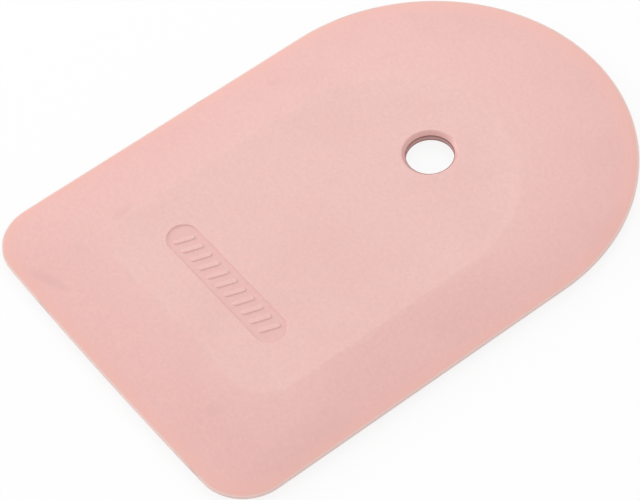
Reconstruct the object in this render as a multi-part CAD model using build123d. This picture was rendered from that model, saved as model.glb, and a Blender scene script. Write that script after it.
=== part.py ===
from build123d import *

import os

# Bowl scraper: a stiff core plate sealed between two silicone skins.
# It lies flat, with its scraping edge at -Y and its round end at +Y. The origin is under the
# middle of its outline, on the surface that it lies on.

# Outline of the blade, seen from above
blade_width = 100.0
blade_length = 144.5
blade_corner_radius = 12.0
edge_crown = 0.5  # how far the scraping edge bows out at its middle

# Raised grip face on each side, and the slopes that run out from it to the lip
side_slope_width = 18.5
edge_slope_width = 21.0
end_slope_width = 30.75
face_corner_radius = 9.5
lip_thickness = 0.8
lip_chamfer = 0.15
slope_curve_share = 0.4  # 0 is a flat slope, and a larger share a rounder one
slope_sections = 4

# Core plate and the silicone over it
core_thickness = 1.6
skin_over_core = 1.2
core_margin = 1.6  # from the grip face's outline in to the core's outline
core_corner_radius = 7.5
core_edge_round = 0.35

# Windows in the core plate, filled by studs of the lower skin that bond to the upper one
window_count = 18
window_radius = 2.2
window_inset = 6.5  # from the core's outline in to the middle of a window
window_path_corner_radius = 4.0

# Hanging hole, near the centre of the round end
hang_hole_inset = 16.65  # from the core's outline at the round end in to the hole's middle
hang_hole_radius = 5.8
hang_hole_ledge = 0.15  # ring of core plate left bare round its hole
hang_hole_flare = 0.85  # how much each skin's hole widens up to the grip face
hang_hole_rim_round = 0.3

# Sunk thumb panel with slanted ribs, on the upper skin only
panel_length = 42.0
panel_width = 8.2
panel_depth = 0.35
panel_from_edge = 36.0  # from the scraping edge to the panel's long axis
panel_shift = -0.8  # sideways, from the blade's centre line
rib_count = 11
rib_pitch = 3.3
rib_length = 5.4
rib_width = 1.5
rib_height = 0.28
rib_lean = 20.0  # degrees from square across the panel

# One overrun for every cut
overrun = 1.0

# Heights from the seam plane, where the two skins meet
seam_height = core_thickness / 2 + skin_over_core
core_face = core_thickness / 2
lip_face = lip_thickness / 2

# Ends of the blade, of the grip face inside its slopes, and of the core plate inside that
edge_y = -blade_length / 2
end_y = blade_length / 2
face_half_width = blade_width / 2 - side_slope_width
face_low_y = edge_y + edge_slope_width
face_end_y = end_y - end_slope_width
core_half_width = face_half_width - core_margin
core_low_y = face_low_y + core_margin
core_end_y = face_end_y - core_margin

# Hanging hole's place, and its radii in the skins
hang_hole_y = core_end_y - hang_hole_inset
skin_hole_radius = hang_hole_radius + hang_hole_ledge
rim_radius = skin_hole_radius + hang_hole_flare


def d_outline(half_width, low_y, end_y, corner_radius, crown=0):
    """Face of a D: a half-round end, straight sides and a low edge with two round corners."""
    arc_y = end_y - half_width
    corner_x = half_width - corner_radius
    corner_y = low_y + corner_radius
    middle = (0, low_y - crown)
    corner = (-corner_x, low_y)
    low_edge = TangentArc(middle, corner, tangent=(-1, 0)) if crown > 0 else Line(middle, corner)
    left_half = [
        CenterArc((0, arc_y), half_width, 90, 90),
        Line((-half_width, arc_y), (-half_width, corner_y)),
        CenterArc((-corner_x, corner_y), corner_radius, 180, 90),
        low_edge,
    ]
    right_half = mirror(left_half, Plane.YZ)
    return make_face(Wire(left_half + right_half.edges()))


def slope_outline(share, inset=0):
    """Outline part of the way from the grip face, at share 0, to the lip, at share 1."""

    def between(at_face, at_lip):
        return at_face + (at_lip - at_face) * share

    return d_outline(
        between(face_half_width, blade_width / 2 - inset),
        between(face_low_y, edge_y + edge_crown + inset),
        between(face_end_y, end_y - inset),
        between(face_corner_radius, blade_corner_radius - inset),
        between(0, edge_crown),
    )


def slope_height(share):
    """Height of the slope above the seam plane, at that share of the way out to the lip."""
    fall_share = (1 - slope_curve_share) * share + slope_curve_share * share**2
    return seam_height - (seam_height - lip_face) * fall_share


def skin_blank():
    """Upper half of the scraper as one solid piece, on the seam plane at z = 0."""
    chamfer_start = lip_face - lip_chamfer
    lip = extrude(slope_outline(1), chamfer_start)
    chamfer_outlines = [
        Pos(0, 0, chamfer_start) * slope_outline(1),
        Pos(0, 0, lip_face) * slope_outline(1, lip_chamfer),
    ]
    steps = slope_sections - 1
    shares = [1 - step / steps for step in range(slope_sections)]
    slope_outlines = [
        Pos(0, 0, slope_height(share)) * slope_outline(share, lip_chamfer) for share in shares
    ]
    return lip + loft(chamfer_outlines, ruled=True) + loft(slope_outlines)


def skin():
    """Upper skin on the seam plane, with its pocket for the core plate and its flared hole."""
    flare = Pos(0, hang_hole_y, core_face) * Cone(
        skin_hole_radius,
        rim_radius,
        skin_over_core,
        align=(Align.CENTER, Align.CENTER, Align.MIN),
    )
    body = skin_blank() - core_blank() - flare
    top_edges = body.edges().filter_by(GeomType.CIRCLE).group_by(Axis.Z)[-1]
    rim = [edge for edge in top_edges if abs(edge.radius - rim_radius) < hang_hole_rim_round]
    return fillet(rim, hang_hole_rim_round)


def core_blank():
    """Core plate before its windows and hole are cut, across the seam plane."""
    outline = d_outline(core_half_width, core_low_y, core_end_y, core_corner_radius)
    plate = extrude(outline, core_thickness / 2, both=True)
    levels = plate.edges().group_by(Axis.Z)
    return fillet(levels[0] + levels[-1], core_edge_round)


def window_pins(height):
    """One round pin in each window of the core plate, across the seam plane."""
    path = d_outline(
        core_half_width - window_inset,
        core_low_y + window_inset,
        core_end_y - window_inset,
        window_path_corner_radius,
    ).wire()
    places = [path.position_at(count / window_count) for count in range(window_count)]
    return [Pos(place) * Cylinder(window_radius, height) for place in places]


def core_plate():
    """Core plate with its windows and the hanging hole, across the seam plane."""
    cut_height = core_thickness + 2 * overrun
    hole = Pos(0, hang_hole_y, 0) * Cylinder(hang_hole_radius, cut_height)
    return core_blank() - window_pins(cut_height) - hole


def thumb_panel_cut():
    """What the sunk thumb panel takes out of the upper skin, round its ribs."""
    recess = extrude(SlotOverall(panel_length, panel_width), panel_depth + overrun)
    rib = extrude(SlotOverall(rib_length, rib_width, rotation=90 - rib_lean), rib_height)
    row_start = -(rib_count - 1) / 2 * rib_pitch
    ribs = [Pos(row_start + count * rib_pitch, 0, 0) * rib for count in range(rib_count)]
    place = Pos(panel_shift, edge_y + panel_from_edge, seam_height - panel_depth)
    return place * (recess - ribs)


plain_skin = skin()
pieces = {
    "upper_skin": plain_skin - thumb_panel_cut(),
    "core_plate": core_plate(),
    "lower_skin": mirror(plain_skin, Plane.XY) + window_pins(core_thickness),
}

os.makedirs("parts", exist_ok=True)
for name, piece in pieces.items():
    export_step(Pos(0, 0, seam_height) * piece, f"parts/{name}.step")
    print(name, "solids", len(piece.solids()), "volume", round(piece.volume), "valid", piece.is_valid)
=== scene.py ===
"""Bowl scraper dressed for a photograph: two moulded silicone skins round a stiff core plate."""

import enum
import logging
import math
from collections.abc import Callable, Iterable, Sequence
from dataclasses import astuple, dataclass, field, replace
from typing import ClassVar

import bmesh
import bpy
import numpy as np
from mathutils import Matrix, Vector
from mathutils.geometry import delaunay_2d_cdt


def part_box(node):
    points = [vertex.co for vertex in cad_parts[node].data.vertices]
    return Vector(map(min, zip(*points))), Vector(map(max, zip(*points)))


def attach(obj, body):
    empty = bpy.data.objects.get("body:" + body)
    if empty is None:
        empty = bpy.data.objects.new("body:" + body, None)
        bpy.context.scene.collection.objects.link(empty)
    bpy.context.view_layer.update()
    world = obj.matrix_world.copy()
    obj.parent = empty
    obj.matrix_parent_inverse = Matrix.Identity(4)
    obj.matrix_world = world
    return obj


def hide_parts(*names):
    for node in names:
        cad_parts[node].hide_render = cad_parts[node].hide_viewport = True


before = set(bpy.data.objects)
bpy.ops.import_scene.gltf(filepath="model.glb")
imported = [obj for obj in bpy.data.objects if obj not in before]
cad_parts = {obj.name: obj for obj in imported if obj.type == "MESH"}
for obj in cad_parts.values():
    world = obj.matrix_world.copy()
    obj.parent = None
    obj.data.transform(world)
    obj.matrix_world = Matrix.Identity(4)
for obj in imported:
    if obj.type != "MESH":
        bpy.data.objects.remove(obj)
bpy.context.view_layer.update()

LOG = logging.getLogger("bowl_scraper")
ROOT_BODY = "root"
MM = 0.001
NOISE_MIDDLE = 0.5

Colour = tuple[float, float, float]
Plan = np.ndarray
Level = tuple[Plan, float]
ProfilePoint = tuple[float, float]


class Side(enum.Enum):
    """Which way a skin faces, as the sign of its outward direction along Z."""

    UPPER = 1
    LOWER = -1


def smooth(shares: np.ndarray) -> np.ndarray:
    """Eases shares between 0 and 1, so that they leave and arrive gently."""
    return shares**2 * (3 - 2 * shares)


# Plan shapes


def arc(centre: Sequence[float], radius: float, start: float, end: float, steps: int) -> Plan:
    """Samples an arc between two angles in degrees, both ends included."""
    angles = np.radians(np.linspace(start, end, steps + 1))
    return np.asarray(centre) + radius * np.column_stack([np.cos(angles), np.sin(angles)])


def straight(start: Sequence[float], end: Sequence[float], steps: int) -> Plan:
    """Samples a straight line, both ends included."""
    shares = np.linspace(0, 1, steps + 1)[:, None]
    return np.asarray(start) * (1 - shares) + np.asarray(end) * shares


def circle(centre: Sequence[float], radius: float, steps: int) -> Plan:
    """Samples a full circle, with no point repeated."""
    return arc(centre, radius, 0, 360, steps)[:-1]


def spaced(loop: Plan, count: int) -> Plan:
    """Finds points at equal distances along a closed loop, from its first point on.

    Args:
        loop: The loop's points.
        count: How many points to find.

    Returns:
        One row per point found.
    """
    closed = np.vstack([loop, loop[:1]])
    travelled = np.concatenate([[0], np.cumsum(np.linalg.norm(np.diff(closed, axis=0), axis=1))])
    wanted = np.arange(count) / count * travelled[-1]
    return np.column_stack([np.interp(wanted, travelled, closed[:, axis]) for axis in (0, 1)])


def inside(points: Plan, loop: Plan) -> np.ndarray:
    """Tells which points lie inside a closed loop.

    Args:
        points: The points to test.
        loop: The loop's points in order.

    Returns:
        One truth value per point.
    """
    result = np.zeros(len(points), bool)
    for (x1, y1), (x2, y2) in zip(loop, np.roll(loop, -1, axis=0)):
        if y1 == y2:
            continue
        level = (y1 > points[:, 1]) != (y2 > points[:, 1])
        crossing = x1 + (points[:, 1] - y1) * (x2 - x1) / (y2 - y1)
        result ^= level & (points[:, 0] < crossing)
    return result


@dataclass(frozen=True)
class DShape:
    """D outline: a half-round end, straight sides and a low edge with two round corners."""

    half_width: float
    low_y: float
    end_y: float
    corner_radius: float
    crown: float = 0.0

    end_steps: ClassVar[int] = 56
    side_steps: ClassVar[int] = 40
    corner_steps: ClassVar[int] = 16
    edge_steps: ClassVar[int] = 22

    def inset(self, distance: float) -> "DShape":
        """Finds the outline that runs inside this one.

        Args:
            distance: How far inside it runs.

        Returns:
            The inner outline.
        """
        return DShape(
            self.half_width - distance,
            self.low_y + distance,
            self.end_y - distance,
            self.corner_radius - distance,
            self.crown,
        )

    def depth_inside(self, points: Plan) -> np.ndarray:
        """Measures how far inside the outline points lie, leaving out the low edge's slight bow.

        Args:
            points: The points in plan.

        Returns:
            One distance per point, below 0 outside.
        """
        x, y = np.abs(points[:, 0]), points[:, 1]
        arc_y = self.end_y - self.half_width
        across = x - (self.half_width - self.corner_radius)
        down = self.low_y + self.corner_radius - y
        past_corner = np.hypot(np.maximum(across, 0), np.maximum(down, 0))
        low_depth = self.corner_radius - past_corner - np.minimum(np.maximum(across, down), 0)
        end_depth = self.half_width - np.hypot(x, y - arc_y)
        return np.where(y > arc_y, end_depth, low_depth)

    def towards(self, other: "DShape", share: float) -> "DShape":
        """Blends this outline into another, which a share of 1 reaches."""
        near, far = np.array([astuple(self), astuple(other)])
        return DShape(*(near * (1 - share) + far * share).tolist())

    def ring(self) -> Plan:
        """Samples the outline, from the top of the round end, with its left side first.

        Returns:
            One row per point.
        """
        arc_y = self.end_y - self.half_width
        corner_x = self.half_width - self.corner_radius
        corner_y = self.low_y + self.corner_radius
        end = arc((0, arc_y), self.half_width, 90, 180, self.end_steps)
        side = straight((-self.half_width, arc_y), (-self.half_width, corner_y), self.side_steps)
        corner = arc((-corner_x, corner_y), self.corner_radius, 180, 270, self.corner_steps)
        low = straight((-corner_x, self.low_y), (0, self.low_y), self.edge_steps)
        low[:, 1] -= self.crown * (1 - (low[:, 0] / corner_x) ** 2)
        left = np.vstack([end[:-1], side[:-1], corner[:-1], low])
        right = left[-2:0:-1] * (-1, 1)
        return np.vstack([left, right])


@dataclass(frozen=True)
class Slot:
    """Round-ended slot or bar seen from above."""

    x: float
    y: float
    length: float
    width: float
    turn: float = 0.0
    end_steps: int = 16
    side_steps: int = 34

    def ring(self, grow: float = 0.0) -> Plan:
        """Samples the slot's outline.

        Args:
            grow: How far outside the slot's own edge the outline runs.

        Returns:
            One row per point.
        """
        reach = (self.length - self.width) / 2
        radius = self.width / 2 + grow
        pieces = [
            arc((reach, 0), radius, -90, 90, self.end_steps)[:-1],
            straight((reach, radius), (-reach, radius), self.side_steps)[:-1],
            arc((-reach, 0), radius, 90, 270, self.end_steps)[:-1],
            straight((-reach, -radius), (reach, -radius), self.side_steps)[:-1],
        ]
        turn = math.radians(self.turn)
        rotation = np.array([[math.cos(turn), math.sin(turn)], [-math.sin(turn), math.cos(turn)]])
        return np.vstack(pieces) @ rotation + (self.x, self.y)


# Section profiles


def rounded(
    before: ProfilePoint, corner: ProfilePoint, after: ProfilePoint, radius: float, steps: int
) -> list[ProfilePoint]:
    """Rounds the corner of a section.

    Args:
        before: A point on the line that comes to the corner.
        corner: Where the two lines would meet.
        after: A point on the line that leaves it.
        radius: The rounding's radius.
        steps: How many chords it is cut into.

    Returns:
        The rounding's points, both tangent points included.
    """
    tip = Vector(corner)
    back = (Vector(before) - tip).normalized()
    ahead = (Vector(after) - tip).normalized()
    half_angle = back.angle(ahead) / 2
    reach = radius / math.tan(half_angle)
    start, end = tip + back * reach, tip + ahead * reach
    centre = tip + (back + ahead).normalized() * (radius / math.sin(half_angle))
    points = []
    for step in range(steps + 1):
        spoke = (start - centre).slerp(end - centre, step / steps).normalized() * radius
        points.append(tuple(centre + spoke))
    return points


def soft_step(run: float, rise: float, steps: int, lead: float) -> list[ProfilePoint]:
    """Makes the section of a moulded step that eases out of one level and into the next.

    Args:
        run: How far the step goes sideways.
        rise: How far it goes up.
        steps: How many chords it is cut into.
        lead: Length of flat added at each end, which keeps the shading flat beyond it.

    Returns:
        Pairs of sideways distance and height.
    """
    shares = np.linspace(0, 1, steps + 1)
    points = zip((shares * run).tolist(), (smooth(shares) * rise).tolist())
    return [(-lead, 0.0), *points, (run + lead, rise)]


class Shell:
    """Closed surface put together from stacked loops and flat patches."""

    weld: ClassVar[float] = 0.0001 * MM
    sharp_angle: ClassVar[float] = math.radians(32)

    def __init__(self) -> None:
        """Starts with no points and no faces."""
        self.points: list[tuple[float, float, float]] = []
        self.faces: list[tuple[int, ...]] = []

    def _add(self, plan: Plan, height: float) -> list[int]:
        """Adds points at one height.

        Args:
            plan: The points in plan.
            height: Their height above the seam.

        Returns:
            The new points' numbers.
        """
        start = len(self.points)
        self.points.extend((float(x), float(y), height) for x, y in plan)
        return list(range(start, len(self.points)))

    def stack(self, levels: Iterable[Level]) -> None:
        """Joins closed loops, one after the other, with bands of four-sided faces.

        Args:
            levels: The loops, all of equal length, and their heights.
        """
        loops = [self._add(plan, height) for plan, height in levels]
        for low, high in zip(loops, loops[1:]):
            for first in range(len(low)):
                second = (first + 1) % len(low)
                self.faces.append((low[first], low[second], high[second], high[first]))

    def patch(
        self, outer: Plan, height: float, holes: Sequence[Plan] = (), spacing: float = 0.0
    ) -> None:
        """Fills a flat area with triangles.

        Args:
            outer: The area's outer loop.
            height: The area's height above the seam.
            holes: Loops left open in it.
            spacing: Distance between points added inside, or 0 for none.
        """
        loops = [np.float32(loop).astype(float) for loop in (outer, *holes)]
        points = rims = np.vstack(loops)
        edges = []
        start = 0
        for loop in loops:
            size = len(loop)
            edges.extend((start + step, start + (step + 1) % size) for step in range(size))
            start += size
        if spacing > 0:
            points = np.vstack([rims, self._between(rims, loops, spacing)])
        vectors = [Vector(point) for point in points]
        found, _, triangles, *_ = delaunay_2d_cdt(vectors, edges, [], 0, 0.0)
        flat = np.array([tuple(point) for point in found])
        corners = np.array(triangles)
        kept = self._within(flat[corners].mean(axis=1), loops)
        numbers = self._add(flat, height)
        self.faces.extend(tuple(numbers[corner] for corner in triangle) for triangle in corners[kept])

    @staticmethod
    def _within(points: Plan, loops: Sequence[Plan]) -> np.ndarray:
        """Tells which points lie in an area.

        Args:
            points: The points to test.
            loops: The area's outer loop, then those left open in it.

        Returns:
            One truth value per point.
        """
        kept = inside(points, loops[0])
        for hole in loops[1:]:
            kept &= ~inside(points, hole)
        return kept

    def _between(self, rims: Plan, loops: Sequence[Plan], spacing: float) -> Plan:
        """Lays an even field of points inside a flat area, clear of its rims.

        Args:
            rims: All the points on the area's loops.
            loops: The area's outer loop, then those left open in it.
            spacing: Distance between the points.

        Returns:
            One row per point.
        """
        low, high = rims.min(axis=0), rims.max(axis=0)
        columns = np.arange(low[0], high[0], spacing)
        rows = np.arange(low[1], high[1], spacing * math.sin(math.pi / 3))
        field_x, field_y = np.meshgrid(columns, rows)
        field_x[1::2] += spacing / 2
        points = np.column_stack([field_x.ravel(), field_y.ravel()])
        points = points[self._within(points, loops)]
        gaps = np.array([np.min(np.sum((rims - point) ** 2, axis=1)) for point in points])
        return points[gaps > (spacing / 2) ** 2]

    def warp(self, change: Callable[[np.ndarray], np.ndarray]) -> None:
        """Moves all the points at once, one row each."""
        self.points = [tuple(point) for point in change(np.array(self.points)).tolist()]

    def build(self, name: str, seam_height: float, side: Side) -> bpy.types.Object:
        """Turns the shell into an object, the right way up for its side.

        Args:
            name: The object's name.
            seam_height: Height of the seam plane above the floor.
            side: Which way the shell faces.

        Returns:
            The new object, linked to the scene.
        """
        mesh = bpy.data.meshes.new(name)
        points = [(x, y, seam_height + side.value * z) for x, y, z in self.points]
        mesh.from_pydata(points, [], self.faces)
        work = bmesh.new()
        work.from_mesh(mesh)
        bmesh.ops.remove_doubles(work, verts=work.verts, dist=self.weld)
        loose = [vertex for vertex in work.verts if not vertex.link_faces]
        bmesh.ops.delete(work, geom=loose, context="VERTS")
        bmesh.ops.recalc_face_normals(work, faces=work.faces)
        open_edges = sum(1 for edge in work.edges if not edge.is_manifold)
        work.to_mesh(mesh)
        work.free()
        mesh.shade_smooth()
        mesh.set_sharp_from_angle(angle=self.sharp_angle)
        piece = bpy.data.objects.new(name, mesh)
        bpy.context.scene.collection.objects.link(piece)
        LOG.info("%s: %d faces, %d open edges", name, len(mesh.polygons), open_edges)
        return piece


# Shader maths


def opaque(colour: Colour) -> tuple[float, float, float, float]:
    """Adds a full alpha to a colour."""
    return (*colour, 1.0)


class Signal:
    """One output of a shader node, usable in Python maths."""

    def __init__(self, graph: "Graph", socket: bpy.types.NodeSocket) -> None:
        """Keeps the graph and the output socket."""
        self.graph = graph
        self.socket = socket

    def _maths(self, operation: str, first: "Signal | float", second: "Signal | float") -> "Signal":
        """Adds a Math node and returns its result."""
        return self.graph.node("ShaderNodeMath", {"operation": operation}, {0: first, 1: second})

    def __add__(self, other: "Signal | float") -> "Signal":
        """Adds a value."""
        return self._maths("ADD", self, other)

    def __radd__(self, other: float) -> "Signal":
        """Is added to a number."""
        return self._maths("ADD", other, self)

    def __sub__(self, other: "Signal | float") -> "Signal":
        """Takes a value away."""
        return self._maths("SUBTRACT", self, other)

    def __rsub__(self, other: float) -> "Signal":
        """Is taken from a number."""
        return self._maths("SUBTRACT", other, self)

    def __mul__(self, other: "Signal | float") -> "Signal":
        """Multiplies by a value."""
        return self._maths("MULTIPLY", self, other)

    def __rmul__(self, other: float) -> "Signal":
        """Multiplies a number."""
        return self._maths("MULTIPLY", other, self)

    def __pow__(self, other: float) -> "Signal":
        """Raises to a power."""
        return self._maths("POWER", self, other)

    def __abs__(self) -> "Signal":
        """Drops the sign."""
        return self._maths("ABSOLUTE", self, 0.0)

    def largest(self, other: "Signal | float") -> "Signal":
        """Returns the larger of two values."""
        return self._maths("MAXIMUM", self, other)

    def ease(self, low: float, high: float) -> "Signal":
        """Goes smoothly from 0 to 1.

        Args:
            low: Where the result is 0.
            high: Where the result is 1.

        Returns:
            The eased value.
        """
        settings = {"interpolation_type": "SMOOTHSTEP"}
        inputs = {"Value": self, "From Min": low, "From Max": high}
        return self.graph.node("ShaderNodeMapRange", settings, inputs)

    def output(self, name: str) -> "Signal":
        """Returns another output of the same node."""
        return Signal(self.graph, self.graph.find(self.socket.node.outputs, name))


class Graph:
    """Node tree of one material, or of the world."""

    def __init__(self, tree: bpy.types.NodeTree) -> None:
        """Empties the tree and keeps it."""
        self.tree = tree
        tree.nodes.clear()

    @staticmethod
    def find(sockets: bpy.types.bpy_prop_collection, key: int | str) -> bpy.types.NodeSocket:
        """Finds a socket.

        Args:
            sockets: A node's inputs or outputs.
            key: The socket's number, identifier or name.

        Returns:
            The socket.
        """
        if isinstance(key, int):
            return sockets[key]
        for socket in sockets:
            if socket.identifier == key:
                return socket
        return sockets[key]

    def node(
        self,
        kind: str,
        settings: dict[str, object] | None = None,
        inputs: dict[int | str, object] | None = None,
        output: int | str = 0,
    ) -> Signal:
        """Adds any node.

        Args:
            kind: The node's type.
            settings: Its own settings, made first.
            inputs: A value or a Signal for each socket that is named or numbered.
            output: Which of its outputs to return.

        Returns:
            That output, or an input where the node has no outputs.
        """
        node = self.tree.nodes.new(kind)
        for name, value in (settings or {}).items():
            setattr(node, name, value)
        for key, value in (inputs or {}).items():
            socket = self.find(node.inputs, key)
            if isinstance(value, Signal):
                self.tree.links.new(value.socket, socket)
            else:
                socket.default_value = value
        sockets = node.outputs if len(node.outputs) else node.inputs
        return Signal(self, self.find(sockets, output))

    def mix(self, factor: Signal, first: Signal | Colour, second: Signal | Colour) -> Signal:
        """Blends two colours.

        Args:
            factor: How much of the second colour shows.
            first: The colour at a factor of 0.
            second: The colour at a factor of 1.

        Returns:
            The blended colour.
        """
        inputs = {"Factor_Float": factor}
        for name, colour in (("A_Color", first), ("B_Color", second)):
            inputs[name] = colour if isinstance(colour, Signal) else opaque(colour)
        return self.node("ShaderNodeMix", {"data_type": "RGBA"}, inputs, "Result_Color")

    def bump(self, relief: Signal, depth: float) -> Signal:
        """Turns a pattern into relief of that depth, and returns the surface's direction."""
        inputs = {"Height": relief, "Distance": depth, "Strength": 1.0}
        return self.node("ShaderNodeBump", {}, inputs)


def new_material(name: str) -> tuple[bpy.types.Material, Graph]:
    """Makes an empty material.

    Args:
        name: The material's name.

    Returns:
        The material and the graph of its nodes.
    """
    material = bpy.data.materials.new(name)
    material.use_nodes = True
    return material, Graph(material.node_tree)


@dataclass(frozen=True)
class Noise:
    """One layer of cloudy noise in a finish, with its blotches' size and its count of finer layers."""

    size: float
    detail: float
    strength: float = 1.0
    start: float = 0.0
    full: float = 1.0

    def read(self, place: Signal) -> Signal:
        """Returns the plain noise, about NOISE_MIDDLE on average."""
        inputs = {"Vector": place, "Scale": 1 / self.size, "Detail": self.detail}
        return place.graph.node("ShaderNodeTexNoise", {}, inputs)

    def swing(self, place: Signal) -> Signal:
        """Returns the noise at its strength, about 0 on average."""
        return (self.read(place) - NOISE_MIDDLE) * self.strength

    def patches(self, place: Signal) -> Signal:
        """Returns patches at its strength where the noise passes its start, with 0 between them."""
        return self.read(place).ease(self.start, self.full) * self.strength


@dataclass(frozen=True)
class Scuff:
    """Faint dark rub mark on the upper skin."""

    x: float
    y: float
    length: float
    width: float
    turn: float
    strength: float

    def mask(self, x: Signal, y: Signal, fray: Signal) -> Signal:
        """Says how strongly the mark shows.

        Args:
            x: Place across the blade.
            y: Place along the blade.
            fray: Noise about 0 that breaks up the mark's edge.

        Returns:
            The mark's strength at its middle, fading to 0 at its edge.
        """
        cosine, sine = math.cos(math.radians(self.turn)), math.sin(math.radians(self.turn))
        across, along = x - self.x, y - self.y
        run = (across * cosine + along * sine) * (2 / self.length)
        side = (along * cosine - across * sine) * (2 / self.width)
        return (1 - (run * run + side * side + fray).ease(0.0, 1.0)) * self.strength


@dataclass(frozen=True)
class SiliconeFinish:
    """Matte pink silicone: finely grained, faintly clouded, and deeper in tone where it is thin."""

    colour: Colour = (0.869, 0.548, 0.509)
    roughness: float = 0.39
    roughness_spread: float = 0.08
    specular: float = 0.5
    subsurface: float = 0.12
    subsurface_scale: float = 1.0 * MM
    subsurface_radius: Colour = (1.0, 0.4, 0.3)
    grain: Noise = Noise(0.35 * MM, 2.0)
    grain_depth: float = 0.012 * MM

    cloud_colour: Colour = (0.60, 0.28, 0.25)
    cloud_share: float = 0.088
    cloud: Noise = Noise(24 * MM, 4.0, strength=0.08, start=0.42, full=0.72)
    mottle: Noise = Noise(0.9 * MM, 4.0, strength=0.37)
    speckle: Noise = Noise(0.28 * MM, 1.0, strength=0.18)

    thin_colour: Colour = (0.868, 0.507, 0.473)
    thin_power: float = 0.35
    crease_blend: float = 0.3 * MM

    hollow_colour: Colour = (0.79, 0.42, 0.40)
    hollow_strength: float = 0.6
    hollow_start: float = 0.1
    hollow_full: float = 0.5

    lip_colour: Colour = (0.868, 0.486, 0.430)
    lip_start: float = 0.9 * MM

    rim_colour: Colour = (0.81, 0.645, 0.605)
    rim_strength: float = 0.72
    rim_width: float = 0.6 * MM
    rim_full: float = 0.24 * MM
    smudge_colour: Colour = (0.50, 0.40, 0.36)
    smudge: Noise = Noise(11 * MM, 5.0, strength=0.6, start=0.56, full=0.70)

    dust_colour: Colour = (0.35, 0.24, 0.21)
    dust_pitch: float = 9 * MM
    dust_radius: float = 0.16 * MM
    dust_edge_share: float = 0.5
    dust_pick_start: float = 0.55
    dust_pick_full: float = 0.6

    scuff_colour: Colour = (0.45, 0.25, 0.24)
    fray: Noise = Noise(1.8 * MM, 3.0)
    scuffs: tuple[Scuff, ...] = (
        Scuff(-29.0 * MM, -67.0 * MM, 17 * MM, 3.0 * MM, 19, 0.11),
        Scuff(-33.4 * MM, -42.8 * MM, 8 * MM, 3.2 * MM, 100, 0.08),
        Scuff(25.4 * MM, -59.0 * MM, 6.5 * MM, 4.5 * MM, 60, 0.06),
        Scuff(-8.4 * MM, 0.4 * MM, 6.5 * MM, 3.2 * MM, 62, 0.045),
        Scuff(-41.9 * MM, 8.5 * MM, 4.5 * MM, 2.8 * MM, 90, 0.055),
        Scuff(-40.5 * MM, 2.3 * MM, 7 * MM, 3.2 * MM, 82, 0.035),
        Scuff(-30.2 * MM, 34.0 * MM, 14 * MM, 1.5 * MM, 74, 0.045),
        Scuff(-37.8 * MM, 47.2 * MM, 5 * MM, 3.5 * MM, 40, 0.045),
        Scuff(-31.5 * MM, -56.5 * MM, 7 * MM, 5.0 * MM, 30, 0.045),
        Scuff(44.5 * MM, -48.0 * MM, 34 * MM, 11.0 * MM, 90, 0.05),
        Scuff(44.0 * MM, 40.0 * MM, 24 * MM, 5.0 * MM, 112, 0.05),
    )

    def material(self, blade: "Blade") -> bpy.types.Material:
        """Builds the material.

        Args:
            blade: The blade's sizes, which say where the silicone is thin.

        Returns:
            The material.
        """
        material, graph = new_material("pink_silicone")
        place = graph.node("ShaderNodeTexCoord", output="Object")
        height = graph.node("ShaderNodeSeparateXYZ", inputs={0: place}, output="Z")
        above_seam = abs(height - blade.seam_height)
        fallen = (blade.face_height - above_seam) * (1 / (blade.face_height - blade.lip_face))
        on_slope = self.outside(height, blade.face).ease(0.0, self.crease_blend)
        thinness = on_slope * fallen.largest(0.0) ** self.thin_power
        hollow = (1 - on_slope) * fallen.ease(self.hollow_start, self.hollow_full)
        lip = 1 - above_seam.ease(blade.lip_face, self.lip_start)
        colour = graph.mix(thinness, self.colour, self.thin_colour)
        colour = graph.mix(self.blotches(place), colour, self.cloud_colour)
        colour = graph.mix(hollow * self.hollow_strength, colour, self.hollow_colour)
        colour = graph.mix(lip, colour, self.lip_colour)
        colour = self.paled_rim(place, self.outside(height, blade.lip), colour)
        colour = graph.mix(self.rubbed(place, height, blade), colour, self.scuff_colour)
        colour = graph.mix(self.dust(place), colour, self.dust_colour)
        grain = self.grain.read(place)
        shader = graph.node(
            "ShaderNodeBsdfPrincipled",
            {"subsurface_method": "RANDOM_WALK"},
            {
                "Base Color": colour,
                "Roughness": self.roughness + (grain - NOISE_MIDDLE) * self.roughness_spread,
                "Specular IOR Level": self.specular,
                "Subsurface Weight": self.subsurface,
                "Subsurface Scale": self.subsurface_scale,
                "Subsurface Radius": self.subsurface_radius,
                "Normal": graph.bump(grain, self.grain_depth),
            },
        )
        graph.node("ShaderNodeOutputMaterial", {}, {"Surface": shader})
        return material

    @staticmethod
    def outside(height: Signal, outline: "DShape") -> Signal:
        """Measures how far outside an outline a place is.

        Args:
            height: The place's height, from a node that also gives its other two distances.
            outline: The outline.

        Returns:
            The distance, below 0 inside the outline.
        """
        reach, y = abs(height.output("X")), height.output("Y")
        corner_x = outline.half_width - outline.corner_radius
        end = (y - (outline.end_y - outline.half_width)).largest(0.0)
        across = (reach - corner_x).largest(0.0)
        bow = (1 - reach * reach * (1 / corner_x**2)).largest(0.0) * outline.crown
        down = (outline.low_y + outline.corner_radius - y - bow).largest(0.0)
        round_end = (reach * reach + end * end) ** 0.5 - outline.half_width
        round_corner = (across * across + down * down) ** 0.5 - outline.corner_radius
        return round_end.largest(round_corner)

    def paled_rim(self, place: Signal, outside: Signal, colour: Signal) -> Signal:
        """Pales the last of the lip, which lets light through, and smudges it here and there.

        Args:
            place: Where the pattern is read.
            outside: How far outside the blade's outline a place is.
            colour: The colour short of the rim.

        Returns:
            The colour with its rim.
        """
        rim = outside.ease(-self.rim_width, -self.rim_full) * self.rim_strength
        pale = place.graph.mix(self.smudge.patches(place), self.rim_colour, self.smudge_colour)
        return place.graph.mix(rim, colour, pale)

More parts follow.
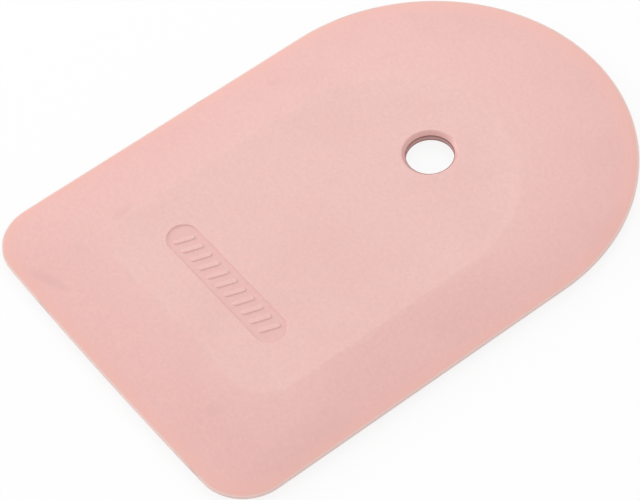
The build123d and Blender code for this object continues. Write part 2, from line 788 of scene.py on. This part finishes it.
    def blotches(self, place: Signal) -> Signal:
        """Adds up the cloud, the mottle and the fine speckle, as a share of the cloud's colour."""
        cloud = self.cloud_share + self.cloud.patches(place)
        return cloud + self.mottle.swing(place) + self.speckle.swing(place)

    def rubbed(self, place: Signal, height: Signal, blade: "Blade") -> Signal:
        """Adds up the rub marks, which lie on the upper skin alone.

        Args:
            place: Where the pattern is read.
            height: The place's height, from a node that also gives its other two distances.
            blade: The blade's sizes.

        Returns:
            How much of the scuffs' colour shows.
        """
        x, y, fray = height.output("X"), height.output("Y"), self.fray.swing(place)
        marks = [scuff.mask(x, y, fray) for scuff in self.scuffs]
        return sum(marks[1:], marks[0]) * (height - blade.seam_height).ease(0.0, blade.lip_face)

    def dust(self, place: Signal) -> Signal:
        """Scatters a few dark specks.

        Args:
            place: Where the pattern is read.

        Returns:
            1 on a speck and 0 off it.
        """
        inputs = {"Vector": place, "Scale": 1 / self.dust_pitch}
        cells = place.graph.node("ShaderNodeTexVoronoi", {}, inputs, "Distance")
        reach = self.dust_radius / self.dust_pitch
        speck = 1 - cells.ease(reach * self.dust_edge_share, reach)
        pick = place.graph.node("ShaderNodeSeparateColor", {}, {0: cells.output("Color")}, "Red")
        return speck * pick.ease(self.dust_pick_start, self.dust_pick_full)


@dataclass(frozen=True)
class CoreFinish:
    """Matte dusky pink plastic of the stiff plate, which shows only inside the hanging hole."""

    colour: Colour = (0.56, 0.34, 0.32)
    roughness: float = 0.55
    grain: Noise = Noise(0.5 * MM, 3.0)
    grain_depth: float = 0.02 * MM
    pale_colour: Colour = (0.63, 0.39, 0.37)
    pale_start: float = 0.35
    pale_full: float = 0.65
    edge_colour: Colour = (0.31, 0.135, 0.12)
    edge_start_share: float = 0.3
    edge_full_share: float = 0.85

    def material(self, blade: "Blade") -> bpy.types.Material:
        """Builds the material.

        Args:
            blade: The blade's sizes, which say where the plate meets the silicone.

        Returns:
            The material.
        """
        material, graph = new_material("core_nylon")
        place = graph.node("ShaderNodeTexCoord", output="Object")
        height = graph.node("ShaderNodeSeparateXYZ", inputs={0: place}, output="Z")
        from_seam = abs(height - blade.seam_height) * (1 / blade.core_face)
        edge = from_seam.ease(self.edge_start_share, self.edge_full_share)
        grain = self.grain.read(place)
        pale = grain.ease(self.pale_start, self.pale_full)
        colour = graph.mix(pale, self.colour, self.pale_colour)
        shader = graph.node(
            "ShaderNodeBsdfPrincipled",
            {},
            {
                "Base Color": graph.mix(edge, colour, self.edge_colour),
                "Roughness": self.roughness,
                "Normal": graph.bump(grain, self.grain_depth),
            },
        )
        graph.node("ShaderNodeOutputMaterial", {}, {"Surface": shader})
        return material


@dataclass(frozen=True)
class FloorFinish:
    """White sweep that stays white to the camera and keeps the scraper's shadow."""

    colour: Colour = (0.97, 0.97, 0.97)
    white: Colour = (1.0, 1.0, 1.0)
    lift: float = 0.85
    roughness: float = 0.9

    def material(self) -> bpy.types.Material:
        """Builds the material.

        Returns:
            The material.
        """
        material, graph = new_material("white_floor")
        camera_ray = graph.node("ShaderNodeLightPath", output="Is Camera Ray")
        surface = graph.node(
            "ShaderNodeBsdfPrincipled",
            {},
            {"Base Color": opaque(self.colour), "Roughness": self.roughness, "Specular IOR Level": 0.0},
        )
        glow = graph.node("ShaderNodeEmission", {}, {"Color": opaque(self.white), "Strength": 1.0})
        both = graph.node("ShaderNodeMixShader", {}, {0: camera_ray * self.lift, 1: surface, 2: glow})
        graph.node("ShaderNodeOutputMaterial", {}, {"Surface": both})
        return material


# The scraper


@dataclass(frozen=True)
class Blade:
    """Sizes that both skins share, with heights counted from the seam where they meet."""

    lip: DShape
    face: DShape
    core: DShape
    seam_height: float
    face_height: float
    core_face: float
    lip_face: float = 0.4 * MM
    lip_round: float = 0.2 * MM
    lip_round_steps: int = 6
    seam_bevel: float = 0.05 * MM
    crease_round: float = 0.4 * MM
    crease_lead: float = 0.3 * MM
    slope_curve_share: float = 0.45
    slope_steps: int = 30
    slope_samples: int = 500
    slope_crowding: float = 1.6
    core_edge_round: float = 0.35 * MM
    core_edge_steps: int = 4
    face_spacing: float = 2.5 * MM
    sink_depth: float = 0.25 * MM
    sink_width: float = 15 * MM
    edge_crown: float = 0.5 * MM
    lip_corner_radius: float = 12 * MM
    face_corner_radius: float = 9.5 * MM
    core_corner_radius: float = 7.5 * MM
    core_margin: float = 1.6 * MM

    @classmethod
    def from_frame(cls) -> "Blade":
        """Takes the blade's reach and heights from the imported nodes.

        Returns:
            The blade.
        """
        low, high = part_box("upper_skin")
        core_low, core_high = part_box("core_plate")
        core = DShape(core_high.x, core_low.y, core_high.y, cls.core_corner_radius)
        return cls(
            lip=DShape(high.x, low.y + cls.edge_crown, high.y, cls.lip_corner_radius, cls.edge_crown),
            face=replace(core.inset(-cls.core_margin), corner_radius=cls.face_corner_radius),
            core=core,
            seam_height=low.z,
            face_height=high.z - low.z,
            core_face=core_high.z - low.z,
        )

    def fall_shares(self, shares: np.ndarray) -> np.ndarray:
        """Says how far the slope has fallen.

        Args:
            shares: Shares of the way from the grip face out to the lip.

        Returns:
            The share of the whole fall at each of them.
        """
        width = self.lip.half_width - self.face.half_width
        fine = np.linspace(0, 1, self.slope_samples)
        eased = smooth(np.clip(fine * width / self.crease_round, 0, 1))
        steepness = (1 - self.slope_curve_share + 2 * self.slope_curve_share * fine) * eased
        fallen = np.concatenate([[0], np.cumsum((steepness[1:] + steepness[:-1]) / 2)])
        return np.interp(shares, fine, fallen / fallen[-1])

    def outside(self) -> list[Level]:
        """Stacks the outer surface, from the seam over the lip and up the slope to the grip face.

        Returns:
            The loops and their heights.
        """
        width = self.lip.half_width - self.face.half_width
        climb = (self.face_height - self.lip_face) * (1 + self.slope_curve_share) / width
        corner, up_slope = (0, self.lip_face), (1, self.lip_face + climb)
        turn = rounded((0, 0), corner, up_slope, self.lip_round, self.lip_round_steps)
        levels = [(self.lip.inset(self.seam_bevel).ring(), 0.0), (self.lip.ring(), self.seam_bevel)]
        levels += [(self.lip.inset(inset).ring(), height) for inset, height in turn]
        edge_inset, edge_height = turn[-1]
        edge = self.lip.inset(edge_inset)
        shares = np.linspace(1, 0, self.slope_steps + 1)[1:] ** self.slope_crowding
        heights = self.face_height - (self.face_height - edge_height) * self.fall_shares(shares)
        for share, height in zip(shares, heights):
            levels.append((self.face.towards(edge, float(share)).ring(), float(height)))
        return [*levels, (self.face.inset(self.crease_lead).ring(), self.face_height)]

    def sunk(self, points: np.ndarray) -> np.ndarray:
        """Sinks the grip face a little towards its middle, as silicone does when it cools.

        Args:
            points: Places above the seam, one row each.

        Returns:
            The same places, lowered at the grip face and unmoved at the core plate.
        """
        share = np.clip(self.face.depth_inside(points[:, :2]) / self.sink_width, 0, 1)
        reach = np.clip((points[:, 2] - self.core_face) / (self.face_height - self.core_face), 0, 1)
        lowered = points.copy()
        lowered[:, 2] -= self.sink_depth * (1 - (1 - share) ** 2) * reach
        return lowered

    def pocket(self) -> list[Level]:
        """Stacks the pocket's wall round the core plate, from the seam up to the pocket's roof.

        Returns:
            The loops and their heights.
        """
        corner, inward = (0, self.core_face), (1, self.core_face)
        turn = rounded((0, 0), corner, inward, self.core_edge_round, self.core_edge_steps)
        wall = [(self.core.inset(inset).ring(), height) for inset, height in turn]
        return [(self.core.ring(), 0.0), *wall]


@dataclass(frozen=True)
class HangHole:
    """Flared mouth of the hanging hole in one skin."""

    y: float = 23.25 * MM
    throat_radius: float = 5.95 * MM
    rim_radius: float = 6.8 * MM
    rim_round: float = 0.3 * MM
    rim_round_steps: int = 6
    lead: float = 0.15 * MM
    steps: int = 112

    def levels(self, blade: Blade) -> list[Level]:
        """Stacks the mouth, from the grip face down to the core plate.

        Args:
            blade: The blade's heights.

        Returns:
            The loops and their heights.
        """
        rim = (self.rim_radius, blade.face_height)
        throat = (self.throat_radius, blade.core_face)
        turn = rounded((rim[0] + self.lead, rim[1]), rim, throat, self.rim_round, self.rim_round_steps)
        section = [(turn[0][0] + self.lead, rim[1]), *turn, throat]
        return [(circle((0, self.y), radius, self.steps), height) for radius, height in section]


@dataclass(frozen=True)
class ThumbPanel:
    """Sunk round-ended panel with a row of slanted ribs for the thumb."""

    x: float = -0.8 * MM
    from_edge: float = 36 * MM
    length: float = 42 * MM
    width: float = 8.2 * MM
    depth: float = 0.35 * MM
    wall_run: float = 0.24 * MM
    wall_steps: int = 7
    lead: float = 0.12 * MM
    rib_count: int = 11
    rib_pitch: float = 3.3 * MM
    rib_length: float = 5.4 * MM
    rib_width: float = 1.5 * MM
    rib_height: float = 0.28 * MM
    rib_lean: float = 20.0
    rib_end_steps: int = 10
    rib_side_steps: int = 6

    def slot(self, blade: Blade) -> Slot:
        """Returns the panel's outline."""
        edge_y = blade.lip.low_y - blade.lip.crown
        return Slot(self.x, edge_y + self.from_edge, self.length, self.width)

    def ribs(self, panel: Slot) -> list[Slot]:
        """Lays the row of ribs out.

        Args:
            panel: The panel's outline.

        Returns:
            One outline per rib.
        """
        row = panel.x + (np.arange(self.rib_count) - (self.rib_count - 1) / 2) * self.rib_pitch
        size = (self.rib_length, self.rib_width, 90 - self.rib_lean)
        steps = (self.rib_end_steps, self.rib_side_steps)
        return [Slot(x, panel.y, *size, *steps) for x in row.tolist()]

    def section(self, rise: float) -> list[ProfilePoint]:
        """Returns the section of a wall that rises by that much."""
        return soft_step(self.wall_run, rise, self.wall_steps, self.lead)

    def add(self, shell: Shell, blade: Blade) -> Plan:
        """Adds the panel's wall, floor and ribs.

        Args:
            shell: The skin's shell.
            blade: The blade's heights.

        Returns:
            The loop where the panel's wall meets the grip face.
        """
        panel = self.slot(blade)
        section = self.section(-self.depth)
        wall = [(panel.ring(-offset), blade.face_height + rise) for offset, rise in section]
        shell.stack(wall)
        floor_plan, floor = wall[-1]
        feet = []
        for rib in self.ribs(panel):
            section = self.section(self.rib_height)
            sides = [(rib.ring(-offset), floor + rise) for offset, rise in section]
            shell.stack(sides)
            shell.patch(*sides[-1])
            feet.append(sides[0][0])
        shell.patch(floor_plan, floor, feet)
        return wall[0][0]


@dataclass(frozen=True)
class Studs:
    """Round studs that fill the core plate's windows."""

    count: int = 18
    radius: float = 2.2 * MM
    inset: float = 6.5 * MM
    path_corner_radius: float = 4.0 * MM
    steps: int = 28

    def places(self, blade: Blade) -> Plan:
        """Returns the studs' middles, evenly spaced round the core plate."""
        path = replace(blade.core.inset(self.inset), corner_radius=self.path_corner_radius)
        return spaced(path.ring(), self.count)

    def add(self, shell: Shell, blade: Blade) -> list[Plan]:
        """Adds the studs, from the pocket's roof through the core plate.

        Args:
            shell: The skin's shell.
            blade: The blade's sizes.

        Returns:
            The loops where the studs meet the pocket's roof.
        """
        feet = []
        for place in self.places(blade):
            ring = circle(place, self.radius, self.steps)
            shell.stack([(ring, blade.core_face), (ring, -blade.core_face)])
            shell.patch(ring, -blade.core_face)
            feet.append(ring)
        return feet


@dataclass
class Skin:
    """One silicone skin: lip, slopes, grip face, the hole's mouth and the core plate's pocket."""

    side: Side
    blade: Blade
    hole: HangHole = field(default_factory=HangHole)
    panel: ThumbPanel | None = None
    studs: Studs | None = None

    @property
    def node(self) -> str:
        """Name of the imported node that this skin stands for."""
        return f"{self.side.name.lower()}_skin"

    def build(self) -> bpy.types.Object:
        """Builds the skin's mesh.

        Returns:
            The skin's object.
        """
        shell = Shell()
        outside = self.blade.outside()
        pocket = self.blade.pocket()
        mouth = self.hole.levels(self.blade)
        for levels in (outside, pocket, mouth):
            shell.stack(levels)
        shell.patch(outside[0][0], 0.0, [pocket[0][0]])
        roof_holes = [mouth[-1][0]]
        face_holes = [mouth[0][0]]
        if self.studs:
            roof_holes += self.studs.add(shell, self.blade)
        if self.panel:
            face_holes.append(self.panel.add(shell, self.blade))
        shell.patch(pocket[-1][0], self.blade.core_face, roof_holes)
        shell.patch(outside[-1][0], self.blade.face_height, face_holes, self.blade.face_spacing)
        shell.warp(self.blade.sunk)
        return shell.build(f"{self.node}_moulding", self.blade.seam_height, self.side)

    def dress(self, material: bpy.types.Material) -> bpy.types.Object:
        """Builds the skin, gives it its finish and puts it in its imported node's place.

        Args:
            material: The silicone.

        Returns:
            The finished piece.
        """
        piece = self.build()
        piece.data.materials.append(material)
        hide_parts(self.node)
        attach(piece, ROOT_BODY)
        return piece


@dataclass
class CorePlate:
    """Stiff plate between the skins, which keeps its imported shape."""

    blade: Blade
    node: str = "core_plate"
    finish: CoreFinish = field(default_factory=CoreFinish)

    def dress(self) -> bpy.types.Object:
        """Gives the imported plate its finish.

        Returns:
            The plate.
        """
        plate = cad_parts[self.node]
        material = self.finish.material(self.blade)
        for slot in plate.material_slots:
            slot.material = material
        LOG.info("%s: packed shape, dressed", self.node)
        return plate


# The studio


def outward(azimuth: float, elevation: float) -> Vector:
    """Finds the direction from the scraper to a place in the studio.

    Args:
        azimuth: The place's angle round the scraper from its scraping edge, in degrees.
        elevation: The place's angle above the floor, in degrees.

    Returns:
        The direction.
    """
    turn, rise = math.radians(azimuth), math.radians(elevation)
    level = math.cos(rise)
    return Vector((math.sin(turn) * level, -math.cos(turn) * level, math.sin(rise)))


@dataclass(frozen=True)
class PhotoCamera:
    """The photograph's camera, as fitted to the outline and the hanging hole."""

    azimuth: float = 57.835
    elevation: float = 52.911
    roll: float = -6.865
    distance: float = 622.9 * MM
    target: tuple[float, float, float] = (4.757 * MM, -13.453 * MM, 2.0 * MM)
    focal_pixels: float = 2688.4
    frame_pixels: float = 640.0
    sensor_width: float = 36.0
    clip_start: float = 10 * MM

    def place(self) -> bpy.types.Object:
        """Adds the camera and makes it the scene's own.

        Returns:
            The camera.
        """
        azimuth, roll = math.radians(self.azimuth), math.radians(self.roll)
        back = outward(self.azimuth, self.elevation)
        right = Vector((math.cos(azimuth), math.sin(azimuth), 0))
        up = back.cross(right)
        rolled_right = right * math.cos(roll) + up * math.sin(roll)
        rolled_up = up * math.cos(roll) - right * math.sin(roll)
        data = bpy.data.cameras.new("photo_camera")
        data.sensor_fit = "HORIZONTAL"
        data.sensor_width = self.sensor_width
        data.lens = self.focal_pixels / self.frame_pixels * self.sensor_width
        data.clip_start = self.clip_start
        camera = bpy.data.objects.new("photo_camera", data)
        place = Matrix((rolled_right, rolled_up, back)).transposed().to_4x4()
        place.translation = Vector(self.target) + back * self.distance
        camera.matrix_world = place
        bpy.context.scene.collection.objects.link(camera)
        bpy.context.scene.camera = camera
        return camera


@dataclass(frozen=True)
class SoftBox:
    """Flat studio lamp that faces the scraper."""

    name: str
    azimuth: float
    elevation: float
    width: float
    height: float
    distance: float
    radiance: float

    def place(self) -> bpy.types.Object:
        """Adds the lamp, with its azimuth counted as the camera's is.

        Returns:
            The lamp.
        """
        back = outward(self.azimuth, self.elevation)
        data = bpy.data.lights.new(self.name, "AREA")
        data.shape = "RECTANGLE"
        data.size = self.width
        data.size_y = self.height
        data.energy = self.radiance * math.pi * self.width * self.height
        lamp = bpy.data.objects.new(self.name, data)
        turn = back.to_track_quat("Z", "Y").to_matrix().to_4x4()
        lamp.matrix_world = Matrix.Translation(back * self.distance) @ turn
        bpy.context.scene.collection.objects.link(lamp)
        return lamp


@dataclass
class Studio:
    """White floor, plain soft light and the photograph's camera."""

    floor_reach: float = 3.0
    sky: Colour = (1.0, 1.0, 1.0)
    world_strength: float = 0.807
    camera: PhotoCamera = field(default_factory=PhotoCamera)
    floor_finish: FloorFinish = field(default_factory=FloorFinish)
    lamps: tuple[SoftBox, ...] = (
        SoftBox("back_box", -127.0, 45.0, width=0.50, height=0.42, distance=0.9, radiance=1.54),
        SoftBox("side_box", -60.0, 15.5, width=0.50, height=0.40, distance=0.9, radiance=4.24),
    )

    def build(self) -> None:
        """Builds the whole studio."""
        self.camera.place()
        for lamp in self.lamps:
            lamp.place()
        self.build_floor()
        self.build_world()

    def build_floor(self) -> bpy.types.Object:
        """Adds the floor, level with the face that the scraper lies on.

        Returns:
            The floor.
        """
        reach = self.floor_reach
        mesh = bpy.data.meshes.new("floor")
        corners = [(-reach, -reach, 0), (reach, -reach, 0), (reach, reach, 0), (-reach, reach, 0)]
        mesh.from_pydata(corners, [], [(0, 1, 2, 3)])
        mesh.materials.append(self.floor_finish.material())
        floor = bpy.data.objects.new("floor", mesh)
        bpy.context.scene.collection.objects.link(floor)
        return floor

    def build_world(self) -> None:
        """Lights the scene evenly, and stays white where it is seen or mirrored."""
        world = bpy.data.worlds.new("white_room")
        world.use_nodes = True
        bpy.context.scene.world = world
        graph = Graph(world.node_tree)
        rays = graph.node("ShaderNodeLightPath", output="Is Camera Ray")
        seen = rays.largest(rays.output("Is Glossy Ray")).largest(rays.output("Is Transmission Ray"))
        strength = self.world_strength + seen * (1 - self.world_strength)
        sky = graph.node("ShaderNodeBackground", {}, {"Color": opaque(self.sky), "Strength": strength})
        graph.node("ShaderNodeOutputWorld", {}, {"Surface": sky})


def main() -> None:
    """Builds the studio and the scraper."""
    logging.basicConfig(level=logging.INFO, format="%(name)s %(message)s")
    bpy.context.scene.view_settings.view_transform = "Standard"
    Studio().build()
    blade = Blade.from_frame()
    silicone = SiliconeFinish().material(blade)
    CorePlate(blade).dress()
    Skin(Side.LOWER, blade, studs=Studs()).dress(silicone)
    Skin(Side.UPPER, blade, panel=ThumbPanel()).dress(silicone)


if __name__ == "__main__":
    main()
